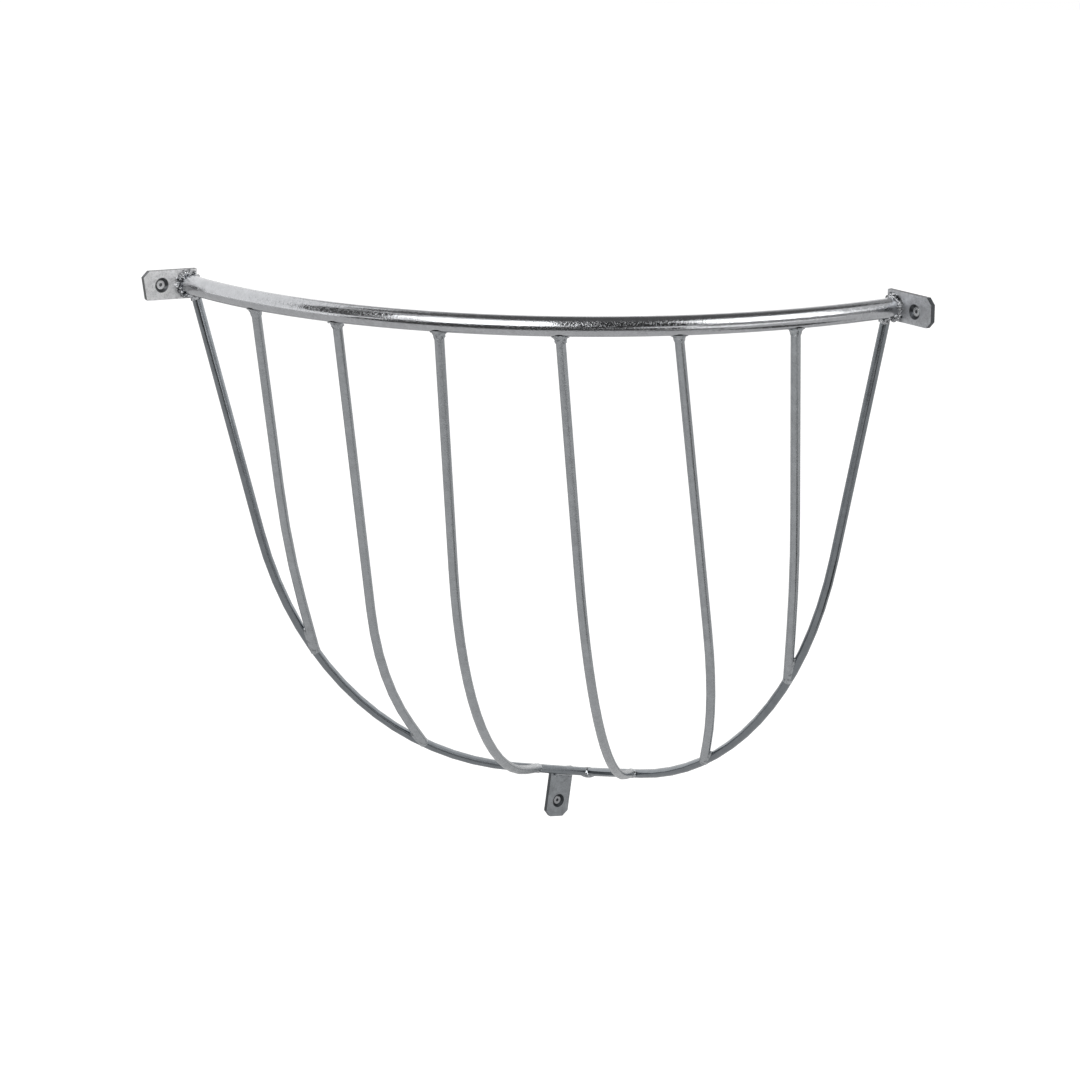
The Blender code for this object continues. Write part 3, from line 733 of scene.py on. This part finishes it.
def beaded(name, size, *balls, beads=False):
    """A smooth weld, drawn to a size, with balls set into it.

    Each ball has a place and half sizes. Beads are a few low lumps on the lower
    half of the weld's outer side.
    """
    lump = settings().weld.bar_lump
    shape, middle = weld_shape(name, size)
    outer_side = 0.5

    def low_and_outside(point, normal):
        facing = normal.dot((point - middle).normalized())
        return point.z < middle.z and facing > outer_side

    if beads:
        add_lumps(name, shape, lump, BEAD_RISE, BEAD_SPACING * lump, low_and_outside)
    for place, half in balls:
        matrix = Matrix.Translation(place) @ Matrix.Diagonal((*half, 1.0))
        bmesh.ops.create_icosphere(shape, subdivisions=4, radius=1.0, matrix=matrix)
    smooth(new_piece(name + "_beads", shape, weld_zinc(), "zinc_weld", name))


def ring(shape, screw, height, radius_at, sides):
    """Points round a screw's axis, at a height above its tip."""
    up = Vector((0, 0, 1))
    across = up.cross(screw.out)
    points = []
    for index in range(sides):
        angle = math.tau * index / sides
        spoke = across * math.cos(angle) + up * math.sin(angle)
        points.append(shape.verts.new(screw.tip + screw.out * height + spoke * radius_at(angle)))
    return points


def screw_outline(screw, sizes):
    """Rings from the socket's floor to the tip: each a height, and a radius by angle."""
    neck = screw.length - sizes.edge - (screw.head - screw.shank)
    floor = screw.length - sizes.socket_depth
    floor_dip = 0.2 * sizes.socket_depth
    dip_radius = 0.0001
    rings_per_turn = 8

    def socket(angle, wider=0.0):
        return (sizes.socket_width / 2 + wider) / math.cos(angle % (math.pi / 3) - math.pi / 6)

    def thread(height, angle):
        turn = height / sizes.pitch - angle / math.tau
        groove = 2 * abs(turn % 1.0 - 0.5)
        body = screw.shank * min(1.0, height / screw.point)
        fade = min(1.0, (neck - height) / sizes.pitch)
        return body - sizes.depth * groove * max(0.0, fade) * min(1.0, body / screw.shank)

    outline = [
        (floor - floor_dip, lambda angle: dip_radius),
        (floor, socket),
        (screw.length - sizes.edge, socket),
        (screw.length, lambda angle: socket(angle, sizes.edge)),
        (screw.length, lambda angle: screw.head - sizes.edge),
        (screw.length - sizes.edge, lambda angle: screw.head),
    ]
    steps = int(neck / (sizes.pitch / rings_per_turn))
    for index in range(steps + 1):
        height = neck + (sizes.edge - neck) * index / steps
        outline.append((height, lambda angle, height=height: thread(height, angle)))
    return outline


def threaded_screw(name):
    """A countersunk screw with a six-sided socket and a thread."""
    sizes = settings().screw
    screw = screw_sizes(name)
    shape = bmesh.new()
    rings = [ring(shape, screw, *row, sizes.sides) for row in screw_outline(screw, sizes)]
    for upper, lower in zip(rings, rings[1:]):
        for index in range(sizes.sides):
            after = (index + 1) % sizes.sides
            shape.faces.new((upper[index], lower[index], lower[after], upper[after]))
    shape.faces.new(rings[0])
    shape.faces.new(reversed(rings[-1]))
    bmesh.ops.recalc_face_normals(shape, faces=shape.faces)
    smooth(new_piece(name + "_threaded", shape, screw_zinc(name), "zinc_screw", name))


# Operators, one for each kind of piece
class HAYRACK_OT_rail(bpy.types.Operator):
    """Finish the top rail in bright zinc"""
    bl_idname = "hayrack.rail"
    bl_label = "Top Rail"

    def execute(self, context):
        smooth(dress("top_rail", tube_zinc()))
        return {"FINISHED"}


class HAYRACK_OT_wall_rods(bpy.types.Operator):
    """Finish the two wall rods"""
    bl_idname = "hayrack.wall_rods"
    bl_label = "Wall Rods"

    def execute(self, context):
        for side in SIDES:
            smooth(dress(side + "_wall_rod", wall_rod_zinc()))
        return {"FINISHED"}


class HAYRACK_OT_bars(bpy.types.Operator):
    """Finish the six bars"""
    bl_idname = "hayrack.bars"
    bl_label = "Bars"

    def execute(self, context):
        for side in SIDES:
            for pair in PAIRS:
                smooth(dress(f"{side}_{pair}_bar", bar_zinc()))
        return {"FINISHED"}


class HAYRACK_OT_welds(bpy.types.Operator):
    """Make the lumpy welds at the rail's ends and the smoother ones on the rods"""
    bl_idname = "hayrack.welds"
    bl_label = "Welds"

    def execute(self, context):
        sizes = settings().weld
        swelling = (sizes.swelling_place, sizes.swelling)
        drop = (sizes.drop_place, [sizes.drop] * 3)
        full_size = 1.0
        foot_size = 0.93
        corner_size = 0.82
        for name in sorted(NODES):
            if name.endswith("_end_weld"):
                lumpy(name, sizes.end_lump, rise=1.0)
            elif name.endswith("_rod_weld"):
                lumpy(name, sizes.rod_lump, rise=0.25)
            elif name.endswith("_top_weld"):
                beaded(name, full_size, beads=True)
            elif name.endswith("_foot_weld") or name == "bottom_tab_weld":
                beaded(name, foot_size)
            elif name == "corner_weld":
                beaded(name, corner_size, swelling, drop)
        return {"FINISHED"}


class HAYRACK_OT_tabs(bpy.types.Operator):
    """Finish the three fixing tabs"""
    bl_idname = "hayrack.tabs"
    bl_label = "Tabs"

    def execute(self, context):
        for place in PLACES:
            name = place + "_tab"
            soften(dress(name, tab_zinc(name)), settings().tab.edge)
        return {"FINISHED"}


class HAYRACK_OT_screws(bpy.types.Operator):
    """Make the three screws with their threads"""
    bl_idname = "hayrack.screws"
    bl_label = "Screws"

    def execute(self, context):
        for place in PLACES:
            threaded_screw(place + "_screw")
        return {"FINISHED"}


# Studio
def direction(azimuth, elevation):
    """Unit vector, by radians right of straight ahead and radians above level."""
    level = math.cos(elevation)
    return Vector((
        math.sin(azimuth) * level, -math.cos(azimuth) * level, math.sin(elevation)))


def set_round_rack(thing, azimuth, elevation, distance, roll):
    """Set a flat thing round the rack, facing it. The angles are in degrees."""
    towards = direction(math.radians(azimuth), math.radians(elevation))
    thing.location = Vector(settings().studio.target) + towards * distance
    turn = Quaternion((0, 0, 1), math.radians(roll))
    thing.rotation_euler = (towards.to_track_quat("Z", "Y") @ turn).to_euler()


def make_camera():
    """The camera, at the photograph's angle."""
    studio = settings().studio
    data = bpy.data.cameras.new("camera")
    data.lens = studio.lens
    data.sensor_width = 36.0
    camera = new_object("camera", data)
    back = direction(studio.bearing, studio.height)
    camera.location = Vector(studio.target) + back * studio.distance
    camera.rotation_euler = (-back).to_track_quat("-Z", "Y").to_euler()
    bpy.context.scene.camera = camera


def shown(tree, x, y, level):
    """A level for what the camera, glossy and transmission rays see."""
    path = add(tree, "ShaderNodeLightPath", x - 400, y)
    first = maths(
        tree, x - 200, y, "MAXIMUM", path.outputs["Is Camera Ray"], path.outputs["Is Glossy Ray"])
    second = maths(tree, x, y, "MAXIMUM", first, path.outputs["Is Transmission Ray"])
    return maths(tree, x + 200, y, "MULTIPLY", second, level)


def flat(name, corners):
    """A flat object with corners at these places across and along it."""
    mesh = bpy.data.meshes.new(name)
    mesh.from_pydata([(x, y, 0) for x, y in corners], [], [range(len(corners))])
    return new_object(name, mesh)


def make_floor():
    """A plain pale floor that shows white and keeps a shadow."""
    studio = settings().studio
    half = 12.0
    floor = flat("floor", ((-half, -half), (half, -half), (half, half), (-half, half)))
    floor.location = (0, 0, -studio.floor_depth)
    material, tree, shader = new_material("pale_floor")
    put(shader, Base_Color=(*studio.floor_colour, 1.0), Roughness=0.9, Emission_Color=(1, 1, 1, 1))
    feed(tree, shader.inputs["Emission Strength"], shown(tree, -400, -300, studio.floor_glow))
    floor.data.materials.append(material)
    floor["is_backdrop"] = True


def make_world():
    """A white surround that lights the rack at a plain level."""
    world = bpy.data.worlds.new("surround")
    bpy.context.scene.world = world
    world.use_nodes = True
    tree = world.node_tree
    surround = tree.nodes["Background"]
    put(surround, Color=(1, 1, 1, 1))
    white = shown(tree, -500, -200, 1.0)
    level = maths(tree, -200, -200, "MAXIMUM", white, settings().studio.world_level)
    feed(tree, surround.inputs["Strength"], level)


def make_lamp(name, place, size, radiance, roll=0.0):
    """A soft box that faces the rack.

    place is degrees right of straight ahead, degrees above level, and metres
    away. size is the width and the height, and roll a turn about its middle.
    """
    light = bpy.data.lights.new(name, "AREA")
    light.shape = "RECTANGLE"
    light.size, light.size_y = size
    light.energy = radiance * math.pi * size[0] * size[1]
    set_round_rack(new_object(name, light), *place, roll)


def make_card(name, place, size, level, roll=0.0):
    """A grey card round the rack, which darkens reflections. Placed as a lamp is."""
    x = size[0] / 2
    y = size[1] / 2
    card = reflected(name, ((-x, -y), (x, -y), (x, y), (-x, y)), level)
    set_round_rack(card, *place, roll)


def make_mat(name, corners, level, lift=0.01):
    """A grey mat, lifted a little off the floor."""
    mat = reflected(name, corners, level)
    mat.location = (0, 0, lift - settings().studio.floor_depth)


def reflected(name, corners, level):
    """A flat card that shows in reflections and nowhere else."""
    card = flat(name, corners)
    card.visible_camera = False
    card.visible_shadow = False
    card.visible_diffuse = False
    material, _, shader = new_material(name)
    put(shader, Base_Color=(0, 0, 0, 1), Emission_Color=(level, level, level, 1.0),
        Emission_Strength=1.0, Roughness=1.0, Specular_IOR_Level=0.0)
    card.data.materials.append(material)
    card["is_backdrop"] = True
    return card


class HAYRACK_OT_studio(bpy.types.Operator):
    """Make the floor, the lights and the camera"""
    bl_idname = "hayrack.studio"
    bl_label = "Studio"

    def execute(self, context):
        context.scene.view_settings.view_transform = "Standard"
        make_camera()
        make_floor()
        make_world()
        make_lamp("soft_box_left", (-17, 33, 4.5), (2.5, 3.5), radiance=1.75, roll=15)
        make_lamp("soft_box_right", (57, 35, 4.5), (2.6, 3.0), radiance=1.6)
        make_card("card_ahead", (-9, -2, 6.0), (7.0, 2.2), level=0.08)
        make_card("card_between", (20, 34, 5.0), (2.7, 5.5), level=0.05)
        make_card("card_left", (-55, 30, 5.0), (1.9, 5.4), level=0.10, roll=14)
        make_card("card_right", (58, 3, 6.0), (5.0, 3.0), level=0.27)
        make_card("card_far_right", (97, 28, 5.0), (2.6, 4.0), level=0.6)
        make_card("card_above", (150, 84, 3.2), (3.6, 3.6), level=0.12)
        make_card("card_behind", (165, 48, 4.0), (5.0, 2.0), level=0.4)
        make_mat("mat_near", ((-6, -1.9), (6, -1.9), (6, 6), (-6, 6)), level=0.55)
        make_mat("mat_far", ((-2.2, -1.9), (1.1, -1.9), (3.5, -6), (-6, -6)), level=0.08)
        make_mat("mat_right", ((0.7, -0.9), (1.2, -0.9), (1.2, -0.25), (0.7, -0.25)), level=0.08,
                 lift=0.02)
        make_mat("mat_front", ((0.6, -1.7), (1.2, -1.7), (1.2, -1.25), (0.6, -1.25)), level=0.08,
                 lift=0.02)
        return {"FINISHED"}


class HAYRACK_PT_panel(bpy.types.Panel):
    """Lists the pieces and the settings of the hay rack"""
    bl_idname = "HAYRACK_PT_panel"
    bl_label = "Corner Hay Rack"
    bl_space_type = "VIEW_3D"
    bl_region_type = "UI"
    bl_category = "Hay Rack"

    def draw(self, context):
        for operator in STEPS:
            self.layout.operator(operator.bl_idname)
        for part in HayRackSettings.__annotations__:
            box = self.layout.box()
            box.label(text=part.title())
            group_of = getattr(context.scene.hay_rack, part)
            for key in group_of.__annotations__:
                box.prop(group_of, key)


STEPS = (
    HAYRACK_OT_rail,
    HAYRACK_OT_wall_rods,
    HAYRACK_OT_bars,
    HAYRACK_OT_welds,
    HAYRACK_OT_tabs,
    HAYRACK_OT_screws,
    HAYRACK_OT_studio,
)
CLASSES = (
    ZincSettings, WeldSettings, ScrewSettings, TabSettings, StudioSettings, HayRackSettings,
    *STEPS, HAYRACK_PT_panel)


def register():
    """Add the classes and the settings to Blender."""
    for kind in CLASSES:
        bpy.utils.register_class(kind)
    bpy.types.Scene.hay_rack = PointerProperty(type=HayRackSettings)


def unregister():
    """Take them out again."""
    del bpy.types.Scene.hay_rack
    for kind in reversed(CLASSES):
        bpy.utils.unregister_class(kind)


def corners():
    """The lowest and highest corner of what shows, as plain numbers."""
    return [list(corner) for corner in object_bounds()]


def main():
    """Run every step in order."""
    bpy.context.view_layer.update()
    register()
    for step in STEPS:
        area, name = step.bl_idname.split(".")
        getattr(getattr(bpy.ops, area), name)()


if __name__ == "__main__":
    main()
